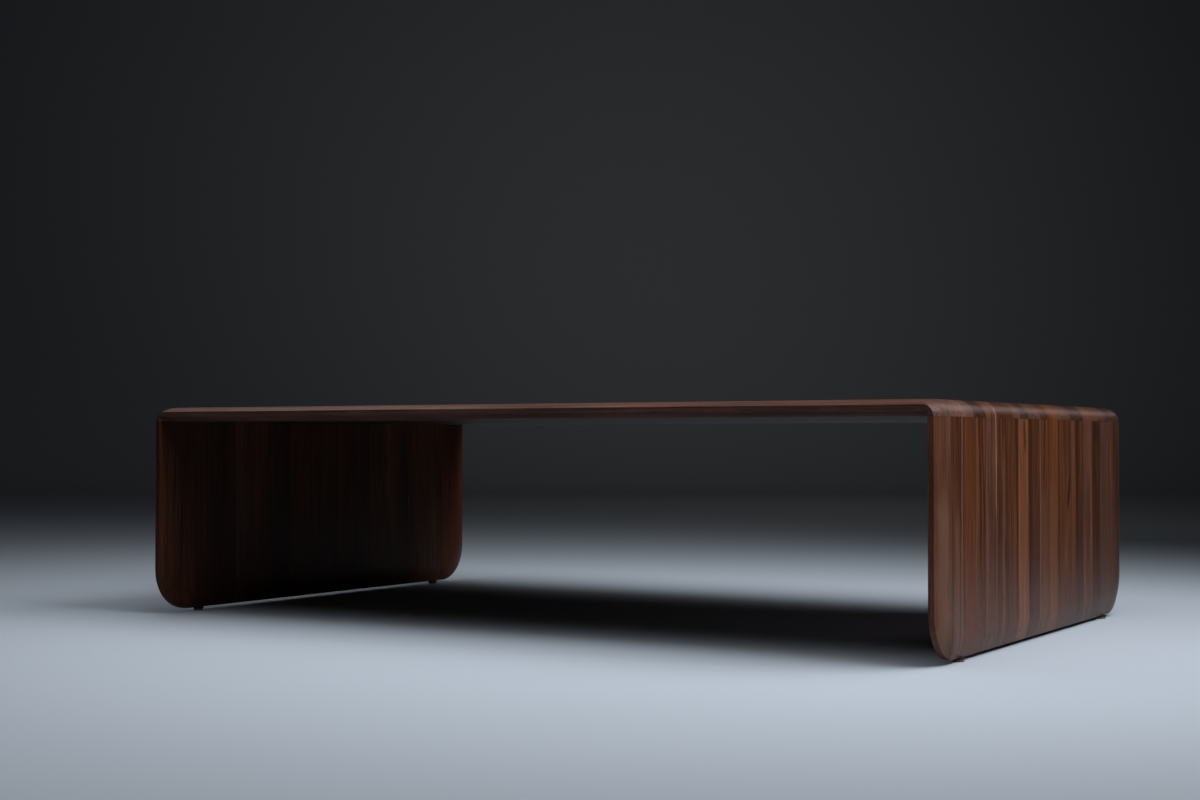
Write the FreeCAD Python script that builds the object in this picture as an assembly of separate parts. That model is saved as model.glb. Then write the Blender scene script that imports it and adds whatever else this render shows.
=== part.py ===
import FreeCAD, Part
import math
import os

# Low waterfall table of solid walnut on four screwed felt glides. The top and both sides
# are glued up from staves. In the rounded upper corners the boards interlock as a comb:
# some staves of the sides rise to the crest, and between them the top runs out over the
# sides. Millimetres, +Z up, origin on the floor under the middle of the top.
# +X runs along the length and -Y is the front.

os.makedirs("parts", exist_ok=True)
Vec = FreeCAD.Vector

# Whole table, standing on its glides
length = 1200.0
depth = 750.0
height = 300.0
board = 20.0

# Free edges: both faces fall in a shallow curve to a narrow strip
edge_strip = 7.0
bevel_width = 32.0

# Lower corners of the sides
corner_radius = 60.0

# Staves, as shares of the depth from the front edge. The rising staves belong to the
# sides, and their edges are glue lines of all three boards.
rising_shares = [(0.203, 0.260), (0.525, 0.579), (0.732, 0.789)]
top_joint_shares = [0.151, 0.340, 0.375, 0.417, 0.480, 0.653, 0.880]
left_joint_shares = [0.052, 0.160, 0.320, 0.367, 0.467, 0.633, 0.847, 0.900]
right_joint_shares = [
    0.053, 0.103, 0.173, 0.315, 0.365, 0.416, 0.473, 0.687, 0.840, 0.920,
]

# Glides: a moulded base, a felt disc glued under it and a countersunk wood screw
base_diameter = 15.0
base_height = 2.0
felt_diameter = 14.0
felt_height = 3.0
glide_setback = 25.0
screw_head_diameter = 6.0
screw_shank_diameter = 3.0
screw_length = 20.0
screw_play = 0.1

# Length by which cutting shapes reach past what they cut
overrun = 1.0

# Places that follow from these sizes
wood_foot = base_height + felt_height
side_inside = length / 2 - board
underside = height - board
strip_depth = (board - edge_strip) / 2
glide_x = length / 2 - board / 2
glide_y = depth / 2 - corner_radius - glide_setback


def line(start, end):
    return Part.LineSegment(start, end).toShape()


def filled(edges):
    """Flat face inside a closed run of edges."""
    return Part.Face(Part.Wire(Part.__sortEdges__(edges)))


def box(low, high):
    """Block between two opposite corners."""
    size = high - low
    return Part.makeBox(size.x, size.y, size.z, low)


# Outline of a free edge, with place(inset, fall) giving the point at that distance in
# from the edge and that depth under the face

def bevel(place):
    """Arc that leaves the face without a crease and ends at the edge strip."""
    radius = (bevel_width ** 2 + strip_depth ** 2) / (2 * strip_depth)
    half_turn = math.asin(bevel_width / radius) / 2
    inset = bevel_width - radius * math.sin(half_turn)
    fall = radius - radius * math.cos(half_turn)
    points = place(bevel_width, 0), place(inset, fall), place(0, strip_depth)
    return Part.Arc(*points).toShape()


def board_section(place, reach):
    """Section of a board from its free edge to a given inset."""
    return filled([
        bevel(place),
        line(place(0, strip_depth), place(0, board - strip_depth)),
        bevel(lambda inset, fall: place(inset, board - fall)),
        line(place(bevel_width, board), place(reach, board)),
        line(place(reach, board), place(reach, 0)),
        line(place(reach, 0), place(bevel_width, 0)),
    ])


def planed_off(place):
    """What the bevel takes away, reaching past the edge and the face."""
    return filled([
        bevel(place),
        line(place(0, strip_depth), place(-overrun, strip_depth)),
        line(place(-overrun, strip_depth), place(-overrun, -overrun)),
        line(place(-overrun, -overrun), place(bevel_width, -overrun)),
        line(place(bevel_width, -overrun), place(bevel_width, 0)),
    ])


# Boards, before they are parted into staves

def top_board():
    """Flat of the top between the inner faces of the sides."""
    halves = []
    for front in (1, -1):
        def place(inset, fall):
            return Vec(-side_inside, front * (inset - depth / 2), height - fall)
        halves.append(board_section(place, depth / 2).extrude(Vec(2 * side_inside, 0, 0)))
    return halves[0].fuse(halves[1])


def side_board():
    """Right side up to the level of the top's underside."""
    straight = depth / 2 - corner_radius
    level = wood_foot + corner_radius

    def foot(inset, fall):
        return Vec(length / 2 - fall, -straight, wood_foot + inset)

    pieces = [board_section(foot, underside - wood_foot).extrude(Vec(0, 2 * straight, 0))]
    for front in (1, -1):
        def upright(inset, fall):
            return Vec(length / 2 - fall, front * (inset - depth / 2), level)
        section = board_section(upright, corner_radius)
        pieces.append(section.extrude(Vec(0, 0, underside - level)))
        centre = Vec(length / 2, -front * straight, level)
        pieces.append(section.revolve(centre, Vec(1, 0, 0), 90 * front))
    return pieces[0].fuse(pieces[1:])


def corner_board():
    """Rounded right corner, a quarter turn of the board about its inner corner line."""
    halves = []
    for front in (1, -1):
        def turned(inset, fall):
            return Vec(side_inside, front * (inset - depth / 2), height - fall)

        def under(inset, fall):
            return Vec(side_inside - overrun, front * (inset - depth / 2), underside + fall)

        def within(inset, fall):
            return Vec(side_inside + fall, front * (inset - depth / 2), underside - overrun)

        section = filled([
            bevel(turned),
            line(turned(0, strip_depth), turned(0, board)),
            line(turned(0, board), turned(depth / 2, board)),
            line(turned(depth / 2, board), turned(depth / 2, 0)),
            line(turned(depth / 2, 0), turned(bevel_width, 0)),
        ])
        quarter = section.revolve(Vec(side_inside, 0, underside), Vec(0, 1, 0), 90)
        # The inner bevels of the two boards meet in a mitre at the inner corner
        room = strip_depth + 2 * overrun
        mitre = planed_off(under).extrude(Vec(room, 0, 0))
        mitre = mitre.common(planed_off(within).extrude(Vec(0, 0, room)))
        halves.append(quarter.cut(mitre))
    return halves[0].fuse(halves[1])


# Glides, under the middle of each side's lower edge strip

def turned_shape(outline):
    """Solid turned about the Z axis from (radius, height) points."""
    points = [Vec(radius, 0, z) for radius, z in outline]
    edges = [line(a, b) for a, b in zip(points, points[1:] + points[:1])]
    return filled(edges).revolve(Vec(0, 0, 0), Vec(0, 0, 1), 360)


def screw(play=0):
    """Countersunk screw, head down on the felt, or its hole with play all round."""
    head = screw_head_diameter / 2
    shank = screw_shank_diameter / 2
    end = felt_height + screw_length + play
    return turned_shape([
        (0, felt_height),
        (head + play, felt_height),
        (shank + play, felt_height + head - shank),
        (shank + play, end),
        (0, end),
    ])


def glide_base():
    radius = base_diameter / 2
    disc = turned_shape([
        (0, felt_height), (radius, felt_height), (radius, wood_foot), (0, wood_foot),
    ])
    return disc.cut(screw(screw_play))


def glide_felt():
    radius = felt_diameter / 2
    return turned_shape([(0, 0), (radius, 0), (radius, felt_height), (0, felt_height)])


places = {
    "front_left": Vec(-glide_x, -glide_y, 0),
    "front_right": Vec(glide_x, -glide_y, 0),
    "back_left": Vec(-glide_x, glide_y, 0),
    "back_right": Vec(glide_x, glide_y, 0),
}
for name, place in places.items():
    glide_base().translated(place).exportStep(f"parts/glide_base_{name}.step")
    glide_felt().translated(place).exportStep(f"parts/glide_felt_{name}.step")
screws = Part.Compound([screw().translated(place) for place in places.values()])
screws.exportStep("parts/glide_screws.step")
screw_holes = Part.Compound([screw(screw_play).translated(place) for place in places.values()])


# Staves

def spans(joint_shares):
    """Shares at which each stave of a board starts and ends, from the front."""
    joints = {0, 1, *joint_shares}
    for start, end in rising_shares:
        joints.update((start, end))
    ordered = sorted(joints)
    return list(zip(ordered, ordered[1:]))


def rises(span):
    middle = (span[0] + span[1]) / 2
    return any(start < middle < end for start, end in rising_shares)


def stave(span, pieces):
    """The part of some touching boards that lies within one stave's width."""
    before = overrun if span[0] == 0 else 0
    after = overrun if span[1] == 1 else 0
    low = Vec(-length, depth * span[0] - depth / 2 - before, 0)
    high = Vec(length, depth * span[1] - depth / 2 + after, 2 * height)
    cuts = [piece.common(box(low, high)) for piece in pieces]
    return cuts[0].multiFuse(cuts[1:]).removeSplitter().Solids[0]


def mirrored(shape):
    return shape.mirror(Vec(0, 0, 0), Vec(1, 0, 0))


top = top_board()
corner = corner_board()
side = side_board().cut(screw_holes)
corners = [corner, mirrored(corner)]
for number, span in enumerate(spans(top_joint_shares), 1):
    pieces = [top] if rises(span) else [top] + corners
    stave(span, pieces).exportStep(f"parts/top_stave_{number:02d}.step")
for number, span in enumerate(spans(right_joint_shares), 1):
    pieces = [side, corner] if rises(span) else [side]
    stave(span, pieces).exportStep(f"parts/right_side_stave_{number:02d}.step")
for number, span in enumerate(spans(left_joint_shares), 1):
    pieces = [side, corner] if rises(span) else [side]
    stave(span, [mirrored(piece) for piece in pieces]).exportStep(
        f"parts/left_side_stave_{number:02d}.step")
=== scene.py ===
import math

import bpy
from mathutils import Matrix, Vector


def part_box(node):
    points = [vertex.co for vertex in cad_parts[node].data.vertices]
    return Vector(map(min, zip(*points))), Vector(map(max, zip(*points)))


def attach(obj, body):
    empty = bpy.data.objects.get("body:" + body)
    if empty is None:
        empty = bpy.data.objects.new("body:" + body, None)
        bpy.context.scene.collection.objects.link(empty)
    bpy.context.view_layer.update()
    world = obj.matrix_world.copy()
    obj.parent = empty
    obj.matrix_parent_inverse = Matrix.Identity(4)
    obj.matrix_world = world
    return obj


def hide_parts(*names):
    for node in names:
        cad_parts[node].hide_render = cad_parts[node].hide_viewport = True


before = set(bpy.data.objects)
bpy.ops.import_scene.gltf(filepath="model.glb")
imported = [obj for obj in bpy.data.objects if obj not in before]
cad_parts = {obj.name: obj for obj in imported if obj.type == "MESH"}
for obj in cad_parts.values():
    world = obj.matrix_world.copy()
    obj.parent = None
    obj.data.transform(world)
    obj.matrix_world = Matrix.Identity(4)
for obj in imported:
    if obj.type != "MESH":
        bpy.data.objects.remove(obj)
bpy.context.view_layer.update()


# Staves of the top. They are solid walnut, planed, edge-glued and finished with satin oil.
# Their grain runs along the table, and the long ones run out over the sides, where their
# rounded ends show end grain. The short ones stop at the staves that rise from the sides.

def tint(red, green, blue):
    """A colour as it is read off a display, turned into the light that it stands for."""
    def light(part):
        part /= 255
        return part / 12.92 if part <= 0.04045 else ((part + 0.055) / 1.055) ** 2.4
    return light(red), light(green), light(blue), 1.0


def put(tree, kind, *inputs, **settings):
    """Adds a node. Each input is a number, a colour or the output of another node."""
    node = tree.nodes.new("ShaderNode" + kind)
    for name, value in settings.items():
        setattr(node, name, value)
    for place, value in enumerate(inputs):
        if isinstance(value, bpy.types.NodeSocket):
            tree.links.new(value, node.inputs[place])
        else:
            node.inputs[place].default_value = value
    return node.outputs[0]


def plus(tree, first, second):
    return put(tree, "Math", first, second, operation="ADD")


def minus(tree, first, second):
    return put(tree, "Math", first, second, operation="SUBTRACT")


def times(tree, first, second):
    return put(tree, "Math", first, second, operation="MULTIPLY")


def fade(tree, value, start, end, low=0.0, high=1.0):
    """Runs smoothly from low to high while the value goes from start to end."""
    return put(tree, "MapRange", value, start, end, low, high,
               interpolation_type="SMOOTHSTEP")


def cloud(tree, place, stretch, shift, detail=2.0, roughness=0.5):
    """Soft noise about 0.5, with so many spots to the metre in each direction."""
    scaled = put(tree, "VectorMath", place, stretch, operation="MULTIPLY")
    moved = put(tree, "VectorMath", scaled, shift, operation="ADD")
    node = tree.nodes.new("ShaderNodeTexNoise")
    node.inputs["Scale"].default_value = 1.0
    node.inputs["Detail"].default_value = detail
    node.inputs["Roughness"].default_value = roughness
    tree.links.new(moved, node.inputs["Vector"])
    return node.outputs["Fac"]


def dye(tree, share, under, over, how="MIX"):
    """Lays one colour over another by a share."""
    node = tree.nodes.new("ShaderNodeMix")
    node.data_type = "RGBA"
    node.blend_type = how
    for place, value in ((0, share), (6, under), (7, over)):
        if isinstance(value, bpy.types.NodeSocket):
            tree.links.new(value, node.inputs[place])
        else:
            node.inputs[place].default_value = value
    return node.outputs[2]


def new_group(name, inputs, outputs):
    """Starts a node group, and gives it with what goes into it and what comes out."""
    tree = bpy.data.node_groups.new(name, "ShaderNodeTree")
    for direction, sockets in (("INPUT", inputs), ("OUTPUT", outputs)):
        for socket, kind in sockets:
            tree.interface.new_socket(socket, in_out=direction, socket_type="NodeSocket" + kind)
    given = tree.nodes.new("NodeGroupInput").outputs
    result = tree.nodes.new("NodeGroupOutput").inputs
    return tree, given, result


def walnut_grain():
    """Walnut cut from a log: x runs along the grain, y across the stave, z into it."""
    tree, given, result = new_group(
        "walnut_grain",
        [("Place", "Vector"), ("Pith", "Vector"), ("Ring gap", "Float"), ("Seed", "Float"),
         ("Wood", "Color"), ("Late wood", "Color"), ("Figure", "Float")],
        [("Colour", "Color"), ("Roughness", "Float"), ("Height", "Float")])
    place = given["Place"]
    shift = put(tree, "CombineXYZ", times(tree, given["Seed"], 3.7), given["Seed"],
                times(tree, given["Seed"], 7.9))

    # The grain drifts from side to side along the log, in long bends with small waves
    bend_reach, wave_reach = 0.030, 0.0055
    bend = cloud(tree, place, (3.0, 8.0, 8.0), shift)
    wave = cloud(tree, place, (15.0, 32.0, 32.0), shift)
    drift = plus(tree, times(tree, minus(tree, bend, 0.5), bend_reach),
                 times(tree, minus(tree, wave, 0.5), wave_reach))
    drifted = put(tree, "VectorMath", place, put(tree, "CombineXYZ", 0.0, drift, 0.0),
                  operation="ADD")

    # Growth rings about the pith, with late wood dark and sharp on its outer side. They
    # wander from round by up to a few rings.
    ring_wander = 3.0
    offset = put(tree, "VectorMath", drifted, given["Pith"], operation="SUBTRACT")
    flat = put(tree, "VectorMath", offset, (0.0, 1.0, 1.0), operation="MULTIPLY")
    node = tree.nodes.new("ShaderNodeVectorMath")
    node.operation = "LENGTH"
    tree.links.new(flat, node.inputs[0])
    turn = put(tree, "Math", node.outputs["Value"], given["Ring gap"], operation="DIVIDE")
    wander = times(tree, cloud(tree, place, (0.8, 18.0, 18.0), shift), ring_wander)
    ring = put(tree, "Math", plus(tree, turn, wander), operation="FRACT")
    late = minus(tree, fade(tree, ring, 0.30, 0.93), fade(tree, ring, 0.95, 1.0))

    # Broad heart colour and dark bands that break off, then fine fibre and open pores
    late_dark, heart_dark, band_dark, pore_dark = 0.40, 0.45, 0.60, 0.38
    pore_rough, late_sunk = 0.15, 0.2
    heart = cloud(tree, drifted, (1.2, 30.0, 30.0), shift, 3.0, 0.6)
    bands = cloud(tree, drifted, (4.0, 125.0, 125.0), shift, 3.0, 0.6)
    bands = times(tree, fade(tree, bands, 0.49, 0.62), fade(tree, heart, 0.36, 0.56, 0.2, 1.0))
    fibre = cloud(tree, drifted, (6.0, 330.0, 330.0), shift, 4.0, 0.72)
    pores = fade(tree, cloud(tree, place, (95.0, 1900.0, 1900.0), shift, 1.0), 0.60, 0.72)
    mottle = cloud(tree, place, (4.5, 20.0, 20.0), shift, 3.0)
    dark = plus(tree, times(tree, late, late_dark), times(tree, bands, band_dark))
    dark = plus(tree, dark, fade(tree, heart, 0.42, 0.70, 0.0, heart_dark))
    dark = put(tree, "Math", dark, given["Figure"], operation="MULTIPLY", use_clamp=True)
    colour = dye(tree, dark, given["Wood"], given["Late wood"])
    shade = fade(tree, fibre, 0.34, 0.66, 0.66, 1.34)
    shade = times(tree, shade, fade(tree, mottle, 0.30, 0.70, 0.86, 1.14))
    shade = times(tree, shade, minus(tree, 1.0, times(tree, pores, pore_dark)))
    grey = put(tree, "CombineColor", shade, shade, shade)
    colour = dye(tree, 1.0, colour, grey, "MULTIPLY")
    tree.links.new(colour, result["Colour"])
    rough = plus(tree, fade(tree, fibre, 0.3, 0.7, 0.27, 0.35), times(tree, pores, pore_rough))
    tree.links.new(rough, result["Roughness"])
    height = minus(tree, times(tree, fibre, 0.5),
                   plus(tree, pores, times(tree, late, late_sunk)))
    tree.links.new(height, result["Height"])
    return tree


def heart_streak():
    """A dark, red or pale streak along a stave, ragged at its sides and pointed at its ends."""
    point_share, longest_point = 0.35, 0.03
    bend_gain, ragged_gain = 3.0, 1.5
    tree, given, result = new_group(
        "heart_streak",
        [("Colour", "Color"), ("Place", "Vector"), ("Middle", "Float"), ("Slant", "Float"),
         ("Half width", "Float"), ("Wander", "Float"), ("Streak", "Color"),
         ("Strength", "Float"), ("Start", "Float"), ("End", "Float")],
        [("Colour", "Color")])
    split = tree.nodes.new("ShaderNodeSeparateXYZ")
    tree.links.new(given["Place"], split.inputs[0])
    along, across = split.outputs["X"], split.outputs["Y"]
    shift = put(tree, "CombineXYZ", times(tree, given["Middle"], 91.0), given["Middle"], 0.0)
    slow = put(tree, "CombineXYZ", along, 0.0, 0.0)
    bend = times(tree, minus(tree, cloud(tree, slow, (16.0, 1.0, 1.0), shift), 0.5),
                 given["Wander"])
    bend = times(tree, bend, bend_gain)
    middle = plus(tree, plus(tree, given["Middle"], times(tree, along, given["Slant"])), bend)
    point = times(tree, minus(tree, given["End"], given["Start"]), point_share)
    point = put(tree, "Math", point, longest_point, operation="MINIMUM")
    grown = times(tree, fade(tree, along, minus(tree, given["Start"], point),
                             plus(tree, given["Start"], point)),
                  fade(tree, along, minus(tree, given["End"], point),
                       plus(tree, given["End"], point), 1.0, 0.0))
    half = times(tree, given["Half width"], fade(tree, grown, 0.0, 1.0, 0.3, 1.0))
    half = times(tree, half, plus(tree, 0.5, cloud(tree, slow, (31.0, 1.0, 1.0), shift)))
    ragged = cloud(tree, given["Place"], (24.0, 320.0, 320.0), shift, 3.0, 0.65)
    away = put(tree, "Math", minus(tree, across, middle), operation="ABSOLUTE")
    away = put(tree, "Math", away, half, operation="DIVIDE")
    away = plus(tree, away, times(tree, minus(tree, ragged, 0.5), ragged_gain))
    share = times(tree, fade(tree, away, 0.30, 1.20, 1.0, 0.0), given["Strength"])
    share = times(tree, share, grown)
    tree.links.new(dye(tree, share, given["Colour"], given["Streak"]), result["Colour"])
    return tree


walnut_tree = walnut_grain()
streak_tree = heart_streak()
low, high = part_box("top_stave_01")
front_edge, table_end, table_top = low.y, high.x, high.z
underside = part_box("right_side_stave_01")[1].z
board = table_top - underside

# Colours of oiled walnut, by their place in the log
wood_tones = {
    "brown": (tint(83, 48, 30), tint(52, 28, 18)),
    "mauve": (tint(88, 55, 42), tint(58, 36, 27)),
    "red": (tint(89, 49, 30), tint(59, 31, 19)),
    "orange": (tint(94, 54, 31), tint(62, 34, 19)),
    "pale": (tint(103, 64, 42), tint(68, 41, 26)),
    "smoky": (tint(74, 49, 39), tint(52, 33, 26)),
    "ashy": (tint(88, 62, 54), tint(60, 43, 38)),
    "umber": (tint(54, 34, 26), tint(34, 21, 16)),
    "dark": (tint(65, 38, 26), tint(38, 21, 14)),
}
streak_tones = {
    "sapwood": tint(140, 100, 72),
    "ash": tint(104, 74, 60),
    "rust": tint(97, 54, 32),
    "brown_shade": tint(66, 43, 33),
    "heart": tint(44, 23, 12),
    "knot": tint(28, 16, 11),
}


def walnut(node, grain, tone, figure, pith, ring_gap, streaks=()):
    """Gives a stave its own cut of walnut. Pith is across from the stave's middle and
    down under its face. Each streak has its middle from the front edge, slant, width,
    wander, tone, strength, and start and end along the grain. Lengths are in millimetres."""
    low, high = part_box(node)
    seed = low.y * 37.0 + (3.0 if grain == "x" else 11.0 if low.x > 0 else 23.0)
    material = bpy.data.materials.new(node)
    material.use_nodes = True
    tree = material.node_tree
    tree.nodes.clear()
    split = tree.nodes.new("ShaderNodeSeparateXYZ")
    origin = tree.nodes.new("ShaderNodeTexCoord")
    tree.links.new(origin.outputs["Object"], split.inputs[0])
    x, y, z = (split.outputs[name] for name in "XYZ")
    place = put(tree, "CombineXYZ", *((x, y, z) if grain == "x" else (z, y, x)))
    face = table_top if grain == "x" else math.copysign(table_end, low.x)
    depth = pith[1] / 1000 * (-1 if face > 0 else 1)
    heart = Vector((0, (low.y + high.y) / 2 + pith[0] / 1000, face + depth))

    wood = tree.nodes.new("ShaderNodeGroup")
    wood.node_tree = walnut_tree
    tree.links.new(place, wood.inputs["Place"])
    light_tone, dark_tone = wood_tones[tone]
    for socket, value in (("Pith", heart), ("Ring gap", ring_gap / 1000), ("Seed", seed),
                          ("Wood", light_tone), ("Late wood", dark_tone), ("Figure", figure)):
        wood.inputs[socket].default_value = value
    colour = wood.outputs["Colour"]
    for middle, slant, width, wander, streak, strength, start, end in streaks:
        line = tree.nodes.new("ShaderNodeGroup")
        line.node_tree = streak_tree
        tree.links.new(colour, line.inputs["Colour"])
        tree.links.new(place, line.inputs["Place"])
        for socket, value in (("Middle", front_edge + middle / 1000), ("Slant", slant),
                              ("Half width", width / 2000), ("Wander", wander / 1000),
                              ("Streak", streak_tones[streak]), ("Strength", strength),
                              ("Start", start / 1000), ("End", end / 1000)):
            line.inputs[socket].default_value = value
        colour = line.outputs["Colour"]

    # Painted light and shade by the way each face turns: the top's upward faces are painted
    # darker and its turned-down ends lighter. The crest of the rising staves is end grain, which
    # drinks more oil, and its darkening there is partly painted shade.
    facing = tree.nodes.new("ShaderNodeNewGeometry")
    turned = tree.nodes.new("ShaderNodeSeparateXYZ")
    tree.links.new(facing.outputs["Normal"], turned.inputs[0])
    end_on = put(tree, "Math", turned.outputs["X" if grain == "x" else "Z"],
                 operation="ABSOLUTE")
    turned_from, long_face_painted_shade, end_oil_and_painted_light = (0.5, 0.85, 1.3) if grain == "x" else (0.35, 1.0, 0.7)
    shade = fade(tree, end_on, turned_from, 1.0, long_face_painted_shade, end_oil_and_painted_light)

    # Glue lines are dark, between staves and where the top's ends lie on the sides
    joint_width, joint_shade, seam_width, seam_shade = 0.0007, 0.55, 0.0008, 0.7
    for edge, free in ((low.y, front_edge), (high.y, -front_edge)):
        if abs(edge - free) > 0.001:
            away = put(tree, "Math", minus(tree, y, edge), operation="ABSOLUTE")
            shade = times(tree, shade, fade(tree, away, 0.0, joint_width, joint_shade, 1.0))
    if grain == "x" or high.z < table_top - board / 2:
        from_seam = put(tree, "Math", minus(tree, z, underside), operation="ABSOLUTE")
        seam = fade(tree, from_seam, 0.0, seam_width, seam_shade, 1.0)
        if grain == "x":
            far_out = put(tree, "Math", x, operation="ABSOLUTE")
            inside = put(tree, "Math", far_out, table_end - board / 2, operation="LESS_THAN")
            seam = put(tree, "Math", seam, inside, operation="MAXIMUM")
        shade = times(tree, shade, seam)
    grey = put(tree, "CombineColor", shade, shade, shade)
    colour = dye(tree, 1.0, colour, grey, "MULTIPLY")

    # The pores are open and the oil is thin. The underside of the top is left duller.
    duller = 0.16 if grain == "x" else 0.0
    below = fade(tree, turned.outputs["Z"], -0.9, -0.2, duller, 0.0)
    bump = tree.nodes.new("ShaderNodeBump")
    bump.inputs["Strength"].default_value = 0.35
    bump.inputs["Distance"].default_value = 0.0003
    tree.links.new(wood.outputs["Height"], bump.inputs["Height"])
    shader = tree.nodes.new("ShaderNodeBsdfPrincipled")
    shader.inputs["Specular IOR Level"].default_value = 0.08
    tree.links.new(colour, shader.inputs["Base Color"])
    tree.links.new(plus(tree, wood.outputs["Roughness"], below), shader.inputs["Roughness"])
    tree.links.new(bump.outputs["Normal"], shader.inputs["Normal"])
    output = tree.nodes.new("ShaderNodeOutputMaterial")
    tree.links.new(shader.outputs[0], output.inputs["Surface"])
    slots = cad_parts[node].data.materials
    slots.clear()
    slots.append(material)


top_cuts = [
    ("ashy", 0.4, (40, 90), 4.0),
    ("umber", 0.5, (-30, 60), 2.6),
    ("mauve", 0.6, (60, 110), 3.2),
    ("dark", 0.6, (0, 55), 3.6),
    ("smoky", 0.6, (50, 70), 2.4),
    ("umber", 0.7, (-40, 80), 3.0),
    ("smoky", 0.6, (30, 50), 2.8),
    ("dark", 0.6, (-60, 90), 2.6),
    ("brown", 0.6, (20, 60), 3.4),
    ("smoky", 0.8, (-20, 45), 3.0),
    ("umber", 0.7, (0, 80), 3.8),
    ("smoky", 0.6, (40, 70), 3.0),
    ("smoky", 0.6, (-10, 50), 3.2),
    ("umber", 0.8, (-50, 90), 3.6),
]
for number, cut in enumerate(top_cuts, 1):
    walnut(f"top_stave_{number:02d}", "x", *cut)


# Staves of the right side, which the light shows best. They stand upright, of uneven
# width and colour, and three of them rise through the rounded corner to the crest.

right_cuts = [
    ("mauve", 0.4, (60, 90), 4.0, [
        (8, 0.0, 14, 3, "rust", 0.25, 60, 360), (33, 0.0, 4, 2, "heart", 0.25, -60, 240),
        # The wide ash patch on the lower part of this front stave is painted light, lighter
        # towards its foot.
        (18, 0.0, 36, 3, "ash", 0.8, -60, 190)]),
    ("brown", 0.6, (-50, 60), 2.6, [
        (43, 0.0, 4, 1, "heart", 0.35, -60, 360), (55, 0.0, 6, 2, "heart", 0.25, 90, 360),
        (58, 0.0, 22, 2, "ash", 0.45, -60, 170),
        (65, 0.01, 4, 1, "heart", 0.4, -60, 360), (73, 0.0, 5, 1, "ash", 0.8, -60, 360)]),
    ("red", 0.5, (70, 110), 4.2, [
        (92, 0.0, 14, 3, "rust", 0.4, 60, 220), (122, 0.0, 8, 3, "ash", 0.35, 60, 330)]),
    ("brown", 0.8, (20, 70), 2.8, [
        (140, -0.030, 7, 1, "heart", 0.8, 120, 360), (161, -0.075, 5, 1, "heart", 0.85, 140, 360),
        (150, 0.0, 6, 2, "heart", 0.4, 20, 150)]),
    ("mauve", 0.8, (-60, 80), 2.4, [
        (163, 0.0, 3, 2, "heart", 0.6, 150, 250), (171, 0.02, 3, 2, "heart", 0.5, 40, 200),
        (179, -0.02, 3, 2, "heart", 0.6, 120, 230), (186, 0.0, 4, 1, "heart", 0.6, 60, 190),
        (190, 0.0, 4, 1, "sapwood", 0.9, 165, 360)]),
    ("brown", 0.7, (40, 60), 3.0, [
        (201, 0.0, 7, 3, "heart", 0.5, 120, 360), (218, 0.0, 14, 3, "ash", 0.4, -60, 240)]),
    ("brown", 0.9, (-30, 50), 2.6, [
        (246, 0.0, 9, 3, "heart", 0.35, -60, 360), (268, 0.0, 9, 2, "heart", 0.7, 30, 360)]),
    ("pale", 0.4, (50, 80), 3.4, [
        (277, 0.0, 4, 1, "sapwood", 0.4, 60, 360), (306, -0.03, 9, 2, "heart", 0.8, 235, 285),
        (290, 0.0, 7, 3, "rust", 0.4, 60, 260)]),
    ("brown", 0.8, (-40, 70), 2.6, [
        (321, 0.0, 14, 3, "heart", 0.5, -60, 300), (343, 0.0, 9, 3, "heart", 0.3, 60, 300)]),
    ("brown", 0.6, (60, 60), 2.8, [
        (360, 0.0, 5, 1, "ash", 0.8, -60, 360), (364, 0.055, 8, 2, "heart", 0.8, 130, 360),
        (376, 0.0, 26, 2, "ash", 0.35, -60, 190)]),
    ("orange", 0.4, (30, 90), 3.6, [
        (424, 0.0, 16, 3, "rust", 0.4, 60, 360), (415, 0.0, 36, 3, "ash", 0.25, -60, 200)]),
    ("brown", 0.6, (0, 50), 3.4, [
        (438, 0.0, 6, 2, "heart", 0.6, 40, 360), (442, 0.22, 8, 1, "knot", 1.0, 164, 206),
        (456, 0.22, 6, 1, "knot", 0.6, 90, 125), (470, 0.0, 5, 2, "ash", 0.6, 85, 115),
        (487, 0.0, 5, 3, "heart", 0.4, 180, 260), (500, 0.0, 12, 4, "ash", 0.35, 60, 360)]),
    ("dark", 0.6, (-50, 60), 2.4, [
        (520, 0.0, 8, 2, "heart", 0.7, 90, 360), (538, 0.0, 12, 2, "rust", 0.5, 180, 360)]),
    ("mauve", 0.3, (40, 100), 3.6, [(572, 0.0, 30, 4, "brown_shade", 0.75, -60, 200)]),
    ("dark", 0.6, (-20, 60), 3.0, [
        (610, 0.0, 26, 3, "heart", 0.9, 252, 280), (619, -0.05, 9, 3, "heart", 0.8, 90, 240)]),
    ("smoky", 0.4, (30, 70), 3.2, [(650, 0.0, 20, 4, "brown_shade", 0.5, 20, 260)]),
    ("smoky", 0.9, (60, 90), 3.6, [(712, 0.0, 30, 4, "heart", 0.4, -60, 360)]),
]
for number, cut in enumerate(right_cuts, 1):
    walnut(f"right_side_stave_{number:02d}", "z", *cut)


# Staves of the left side. They are glued up like the right side's, with other widths,
# and the light leaves their inner face in shadow. The front staves take the dark tone as
# painted shade, which keeps the front lamp from lighting them above the rest.

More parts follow.
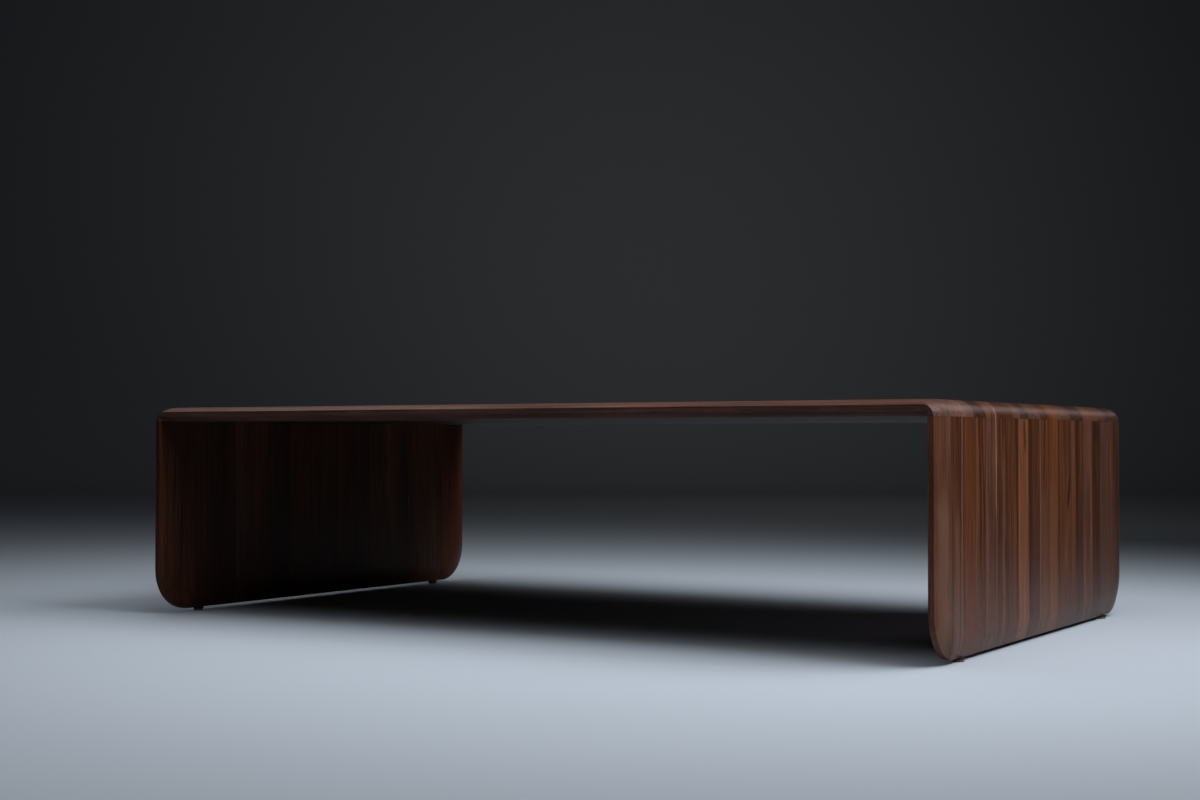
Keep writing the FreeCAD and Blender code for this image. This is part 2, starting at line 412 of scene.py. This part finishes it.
left_cuts = [
    ("dark", 0.6, (50, 90), 3.6),
    ("dark", 0.7, (-40, 60), 3.0),
    ("dark", 0.8, (30, 50), 2.6),
    ("mauve", 0.8, (60, 80), 2.8),
    ("brown", 0.7, (-30, 70), 3.2),
    ("dark", 0.9, (40, 60), 2.4),
    ("red", 0.8, (0, 55), 3.4),
    ("brown", 0.8, (-50, 80), 2.8),
    ("orange", 0.6, (40, 70), 3.4),
    ("mauve", 0.9, (20, 60), 2.6),
    ("pale", 0.8, (0, 50), 3.2),
    ("mauve", 0.7, (-40, 90), 3.0),
    ("pale", 0.8, (50, 60), 2.6),
    ("pale", 0.7, (30, 80), 3.0),
    ("red", 0.6, (-30, 90), 3.6),
]
for number, cut in enumerate(left_cuts, 1):
    walnut(f"left_side_stave_{number:02d}", "z", *cut)


# Wood screws of the glides, zinc-plated steel with a countersunk head, a cross recess
# and a cut thread with a sharp point. Each goes up through its glide base into the stave
# above. The four of them are one piece, as they are one node.

glide_names = ["front_left", "back_left", "front_right", "back_right"]
glide_places = {}
for name in glide_names:
    low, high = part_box(f"glide_felt_{name}")
    glide_places[name] = (low + high) / 2
felt_radius = (high.x - low.x) / 2
felt_top = high.z
low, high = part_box("glide_base_front_left")
base_radius = (high.x - low.x) / 2
base_top = high.z


def new_piece(name, points, faces, material, stands_for):
    """A mesh piece in the row frame that takes the place of a CAD node."""
    mesh = bpy.data.meshes.new(name)
    mesh.from_pydata(points, [], faces)
    mesh.validate()
    mesh.polygons.foreach_set("use_smooth", [True] * len(mesh.polygons))
    mesh.materials.append(material)
    piece = bpy.data.objects.new(name, mesh)
    bpy.context.scene.collection.objects.link(piece)
    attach(piece, "root")
    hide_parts(stands_for)
    return piece


def turned_rings(rings, around, reshape=lambda radius, angle, height: (radius, height)):
    """Points and faces of a closed turned form, from rings of (radius, height) that
    start and end on the axis."""
    points, faces = [], []
    for radius, height in rings[1:-1]:
        for step in range(around):
            angle = math.tau * step / around
            far_out, up = reshape(radius, angle, height)
            points.append((far_out * math.cos(angle), far_out * math.sin(angle), up))
    for ring in range(len(rings) - 3):
        for step in range(around):
            a, b = ring * around + step, ring * around + (step + 1) % around
            faces.append((a, b, b + around, a + around))
    for (_, height), first in ((rings[0], 0), (rings[-1], (len(rings) - 3) * around)):
        points.append((0.0, 0.0, reshape(0.0, 0.0, height)[1]))
        for step in range(around):
            rim = (first + step, first + (step + 1) % around)
            faces.append((rim[1], rim[0], len(points) - 1) if first == 0
                         else (*rim, len(points) - 1))
    return points, faces


def moved(points, place):
    return [(x + place.x, y + place.y, z) for x, y, z in points]


screw_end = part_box("glide_screws")[1].z
head_radius, shank_radius, core_radius = 0.0030, 0.00148, 0.00100
thread_start, thread_pitch, thread_rows = felt_top + 0.0055, 0.0014, 96
thread_run_in, ridge_share = 0.0012, 0.32
point_length, point_curve = 0.0042, 0.7
recess_radius, recess_depth, recess_width, recess_steepness = 0.0020, 0.0015, 0.00042, 2.5
hair = 0.00001


def cut_screw(radius, angle, height):
    """Cuts the thread round the shank and the cross into the head."""
    if height < felt_top + hair and radius < recess_radius:
        across, up = abs(radius * math.cos(angle)), abs(radius * math.sin(angle))
        arm = min(1.0, recess_steepness * max(0.0, 1 - min(across, up) / recess_width))
        return radius, height + recess_depth * arm * (1 - radius / recess_radius) ** 0.5
    if height > thread_start:
        turn = (height / thread_pitch - angle / math.tau) % 1.0
        ridge = max(0.0, 1 - abs(turn - 0.5) / ridge_share) * (shank_radius - core_radius)
        ridge *= min(1.0, (height - thread_start) / thread_run_in)
        point = min(1.0, (screw_end - height) / point_length) ** point_curve
        return (core_radius + ridge) * point, height
    return radius, height


# Rings from the middle of the head out over the countersink and up to the point
screw_rings = [(head_radius * share, felt_top) for share in
               (0.0, 0.07, 0.14, 0.21, 0.28, 0.35, 0.42, 0.49, 0.56, 0.63, 0.70, 0.84, 0.98)]
screw_rings += [(radius, felt_top + height) for radius, height in (
    (head_radius, 0.00008), (0.0026, 0.0004), (0.0020, 0.0010), (0.0015, 0.0015),
    (shank_radius, 0.0019), (shank_radius, 0.0035), (shank_radius, 0.0052), (0.00115, 0.00545))]
thread_length = screw_end - thread_start
screw_rings += [(core_radius, thread_start + thread_length * (row + 0.5) / thread_rows)
                for row in range(thread_rows)]
screw_rings += [(0.0, screw_end)]
one_screw = turned_rings(screw_rings, around=32, reshape=cut_screw)

zinc = bpy.data.materials.new("zinc_plate")
zinc.use_nodes = True
tree = zinc.node_tree
shader = tree.nodes["Principled BSDF"]
shader.inputs["Metallic"].default_value = 1.0
origin = tree.nodes.new("ShaderNodeTexCoord")
spangle = cloud(tree, origin.outputs["Object"], (900.0, 900.0, 900.0), (0.0, 0.0, 0.0), 3.0)
tree.links.new(dye(tree, fade(tree, spangle, 0.35, 0.65), tint(170, 172, 176),
                   tint(205, 204, 200)), shader.inputs["Base Color"])
tree.links.new(fade(tree, spangle, 0.3, 0.7, 0.28, 0.42), shader.inputs["Roughness"])
screw_points, screw_faces = [], []
for name in glide_names:
    first = len(screw_points)
    screw_points += moved(one_screw[0], glide_places[name])
    screw_faces += [tuple(first + corner for corner in face) for face in one_screw[1]]
new_piece("glide_screws_cut", screw_points, screw_faces, zinc, "glide_screws")


# Glide bases, small discs moulded in black plastic. Their rim is rounded and has a fine
# parting line, the underside is sunk a little for the felt, and the screw's countersunk
# hole goes through the middle. They are screwed up against the sides' lower edges.

# Profile from the hole out over the top, down the rim, in underneath and up the countersink
hole_radius, screw_play = 0.0016, 0.0001
collar_radius, sunk = 0.00385, 0.00012
base_profile = [
    (hole_radius, base_top), (base_radius - 0.00050, base_top),
    (base_radius - 0.00015, base_top - 0.00006), (base_radius - 0.00002, base_top - 0.00024),
    (base_radius, base_top - 0.00050), (base_radius, base_top - 0.00090),
    (base_radius - 0.00005, base_top - 0.00095), (base_radius - 0.00005, base_top - 0.00103),
    (base_radius, base_top - 0.00108), (base_radius - 0.00002, felt_top + 0.00050),
    (base_radius - 0.00010, felt_top + 0.00020), (base_radius - 0.00025, felt_top + 0.00006),
    (base_radius - 0.00050, felt_top), (base_radius - 0.00095, felt_top),
    (base_radius - 0.00105, felt_top + sunk), (collar_radius + 0.00015, felt_top + sunk),
    (collar_radius, felt_top), (head_radius + screw_play, felt_top),
    (head_radius + screw_play, felt_top + 0.00006), (hole_radius, felt_top + 0.00156),
]
moulded = bpy.data.materials.new("moulded_black")
moulded.use_nodes = True
tree = moulded.node_tree
shader = tree.nodes["Principled BSDF"]
origin = tree.nodes.new("ShaderNodeTexCoord")
spark = cloud(tree, origin.outputs["Object"], (3500.0, 3500.0, 3500.0), (0.0, 0.0, 0.0), 2.0)
dust = cloud(tree, origin.outputs["Object"], (260.0, 260.0, 260.0), (4.0, 0.0, 0.0), 3.0)
shader.inputs["Specular IOR Level"].default_value = 0.25
tree.links.new(dye(tree, fade(tree, dust, 0.45, 0.75), tint(14, 13, 13), tint(34, 31, 29)),
               shader.inputs["Base Color"])
tree.links.new(fade(tree, dust, 0.3, 0.7, 0.5, 0.7), shader.inputs["Roughness"])
bump = tree.nodes.new("ShaderNodeBump")
bump.inputs["Strength"].default_value = 0.4
bump.inputs["Distance"].default_value = 0.00006
tree.links.new(spark, bump.inputs["Height"])
tree.links.new(bump.outputs["Normal"], shader.inputs["Normal"])
around = 96
for name in glide_names:
    points = [(radius * math.cos(math.tau * step / around),
               radius * math.sin(math.tau * step / around), height)
              for radius, height in base_profile for step in range(around)]
    faces = []
    for ring in range(len(base_profile)):
        under = (ring + 1) % len(base_profile)
        for step in range(around):
            after = (step + 1) % around
            faces.append((ring * around + after, ring * around + step,
                          under * around + step, under * around + after))
    node = f"glide_base_{name}"
    new_piece(f"{node}_moulded", moved(points, glide_places[name]), faces, moulded, node)


# Felt discs, cut from pressed brown wool felt and glued under the bases. Their edges are
# a little soft and uneven, and the face that the table stands on is worn flat.

wool = bpy.data.materials.new("pressed_wool")
wool.use_nodes = True
tree = wool.node_tree
shader = tree.nodes["Principled BSDF"]
shader.inputs["Roughness"].default_value = 0.95
shader.inputs["Specular IOR Level"].default_value = 0.1
shader.inputs["Sheen Weight"].default_value = 0.15
shader.inputs["Sheen Roughness"].default_value = 0.6
origin = tree.nodes.new("ShaderNodeTexCoord")
place = origin.outputs["Object"]
tangle = cloud(tree, place, (1400.0, 1400.0, 700.0), (0.0, 0.0, 0.0), 4.0, 0.7)
lint = cloud(tree, place, (420.0, 2600.0, 2600.0), (9.0, 0.0, 0.0), 2.0, 0.6)
fluff = dye(tree, fade(tree, tangle, 0.35, 0.65), tint(92, 68, 48), tint(126, 96, 70))
fluff = dye(tree, fade(tree, lint, 0.58, 0.70, 0.0, 0.5), fluff, tint(150, 126, 102))
tree.links.new(fluff, shader.inputs["Base Color"])
bump = tree.nodes.new("ShaderNodeBump")
bump.inputs["Strength"].default_value = 0.8
bump.inputs["Distance"].default_value = 0.0003
tree.links.new(tangle, bump.inputs["Height"])
tree.links.new(bump.outputs["Normal"], shader.inputs["Normal"])

edge_give, edge_uneven, lean_step = 0.010, 0.009, 1.7


def pressed(lean):
    """Softens a felt disc's edge, which leans its own way on each disc."""
    def shape(radius, angle, height):
        soft = (radius / felt_radius) ** 6
        uneven = (math.sin(angle * 7 + lean) + math.sin(angle * 19 + lean * 3)
                  + math.sin(angle * 41 + lean * 5 + height * 9000)) / 3
        return radius * (1 - soft * (edge_give + edge_uneven * uneven)), height
    return shape


felt_rings = [(felt_radius * share, 0.0) for share in (0.0, 0.21, 0.43, 0.64, 0.83)]
felt_rings += [(felt_radius - 0.0005, 0.00002), (felt_radius - 0.0002, 0.00016),
               (felt_radius - 0.00008, 0.00042)]
felt_rings += [(felt_radius, felt_top * (0.23 + 0.067 * row)) for row in range(9)]
felt_rings += [(felt_radius - 0.00008, felt_top - 0.00038),
               (felt_radius - 0.0002, felt_top - 0.00016),
               (felt_radius - 0.0006, felt_top - 0.00003)]
felt_rings += [(felt_radius * share, felt_top) for share in (0.64, 0.29, 0.0)]
for turn, name in enumerate(glide_names):
    points, faces = turned_rings(felt_rings, around=128, reshape=pressed(turn * lean_step))
    node = f"glide_felt_{name}"
    felt = new_piece(f"{node}_disc", moved(points, glide_places[name]), faces, wool, node)


# Studio and camera. A pale sweep curves up behind the table into a plain wall. Three soft
# lamps hang over it, two weak ones behind give its edges their sheen, and one lights the
# wall. The camera looks from the front right, from just under the top's level.

look = math.radians(31.351)
sweep_front, sweep_reach, sweep_curve = 12.0, 6.0, 2.5
sweep_height, sweep_width = 9.0, 24.0
profile = [(-sweep_front, 0.0)]
profile += [(sweep_reach + sweep_curve * math.sin(math.radians(turn)),
             sweep_curve * (1 - math.cos(math.radians(turn)))) for turn in range(0, 91, 3)]
profile += [(sweep_reach + sweep_curve, sweep_height)]
points = [(side * sweep_width / 2 * math.cos(look) - back * math.sin(look),
           side * sweep_width / 2 * math.sin(look) + back * math.cos(look), up)
          for back, up in profile for side in (-1, 1)]
sweep = bpy.data.objects.new("sweep", bpy.data.meshes.new("sweep"))
bpy.context.scene.collection.objects.link(sweep)
sweep.data.from_pydata(points, [], [(row, row + 1, row + 3, row + 2)
                                    for row in range(0, len(points) - 2, 2)])
sweep.data.polygons.foreach_set("use_smooth", [True] * len(sweep.data.polygons))
paint = bpy.data.materials.new("sweep")
paint.use_nodes = True
shader = paint.node_tree.nodes["Principled BSDF"]
shader.inputs["Base Color"].default_value = (0.395, 0.45, 0.52, 1)
shader.inputs["Roughness"].default_value = 0.85
sweep.data.materials.append(paint)

world = bpy.data.worlds.new("studio")
bpy.context.scene.world = world
world.use_nodes = True
tree = world.node_tree
tree.nodes.clear()
room = tree.nodes.new("ShaderNodeBackground")
room.inputs["Color"].default_value = (0.92, 0.97, 1.0, 1)
room.inputs["Strength"].default_value = 0.011
output = tree.nodes.new("ShaderNodeOutputWorld")
tree.links.new(room.outputs[0], output.inputs["Surface"])


def soft_lamp(name, place, aim, size, power, spread, colour=(1.0, 1.0, 1.0)):
    """A square or oblong lamp with its power in watts and its spread in degrees."""
    lamp = bpy.data.objects.new(name, bpy.data.lights.new(name, "AREA"))
    lamp.data.shape = "RECTANGLE"
    lamp.data.size, lamp.data.size_y = size
    lamp.data.energy = power
    lamp.data.spread = math.radians(spread)
    lamp.data.color = colour
    lamp.location = place
    lamp.visible_camera = False
    lamp.rotation_euler = (Vector(aim) - Vector(place)).to_track_quat("-Z", "Y").to_euler()
    bpy.context.scene.collection.objects.link(lamp)


soft_lamp("right", (1.28, 0.07, 1.58), (-0.33, -0.31, 0), (1.7, 1.7), 22, 108)
soft_lamp("left", (-0.47, -0.15, 1.31), (-0.07, -0.03, 0), (1.1, 1.1), 4.4, 146)
soft_lamp("front", (0.42, -0.81, 1.64), (0.03, -0.51, 0), (1.0, 1.0), 4.8, 135)
soft_lamp("back", (1.25, 2.4, 1.7), (0.6, -1.1, 0.2), (0.8, 1.8), 0.255, 29, (1.0, 0.85, 0.87))
soft_lamp("rim", (-1.9, 1.0, 1.5), (-0.4, -0.35, 0.3), (1.0, 1.0), 0.2, 90)
soft_lamp("wall", (0.4, 1.5, 1.62), (-3.95, 6.65, 0.95), (2.0, 2.0), 4.9, 77, (1.0, 0.88, 0.77))

camera = bpy.data.objects.new("camera", bpy.data.cameras.new("camera"))
bpy.context.scene.collection.objects.link(camera)
bpy.context.scene.camera = camera
camera.data.sensor_width = 36
camera.data.lens = 53.595
camera.data.clip_end = 200
camera.location = (1.30706, -2.25551, 0.25394)
yaw, pitch, roll = look, math.radians(1.268), math.radians(0.032)
camera.matrix_world = (
    Matrix.Translation(camera.location) @ Matrix.Rotation(yaw, 4, "Z")
    @ Matrix.Rotation(math.pi / 2 + pitch, 4, "X") @ Matrix.Rotation(roll, 4, "Z"))
bpy.context.scene.view_settings.view_transform = "Standard"
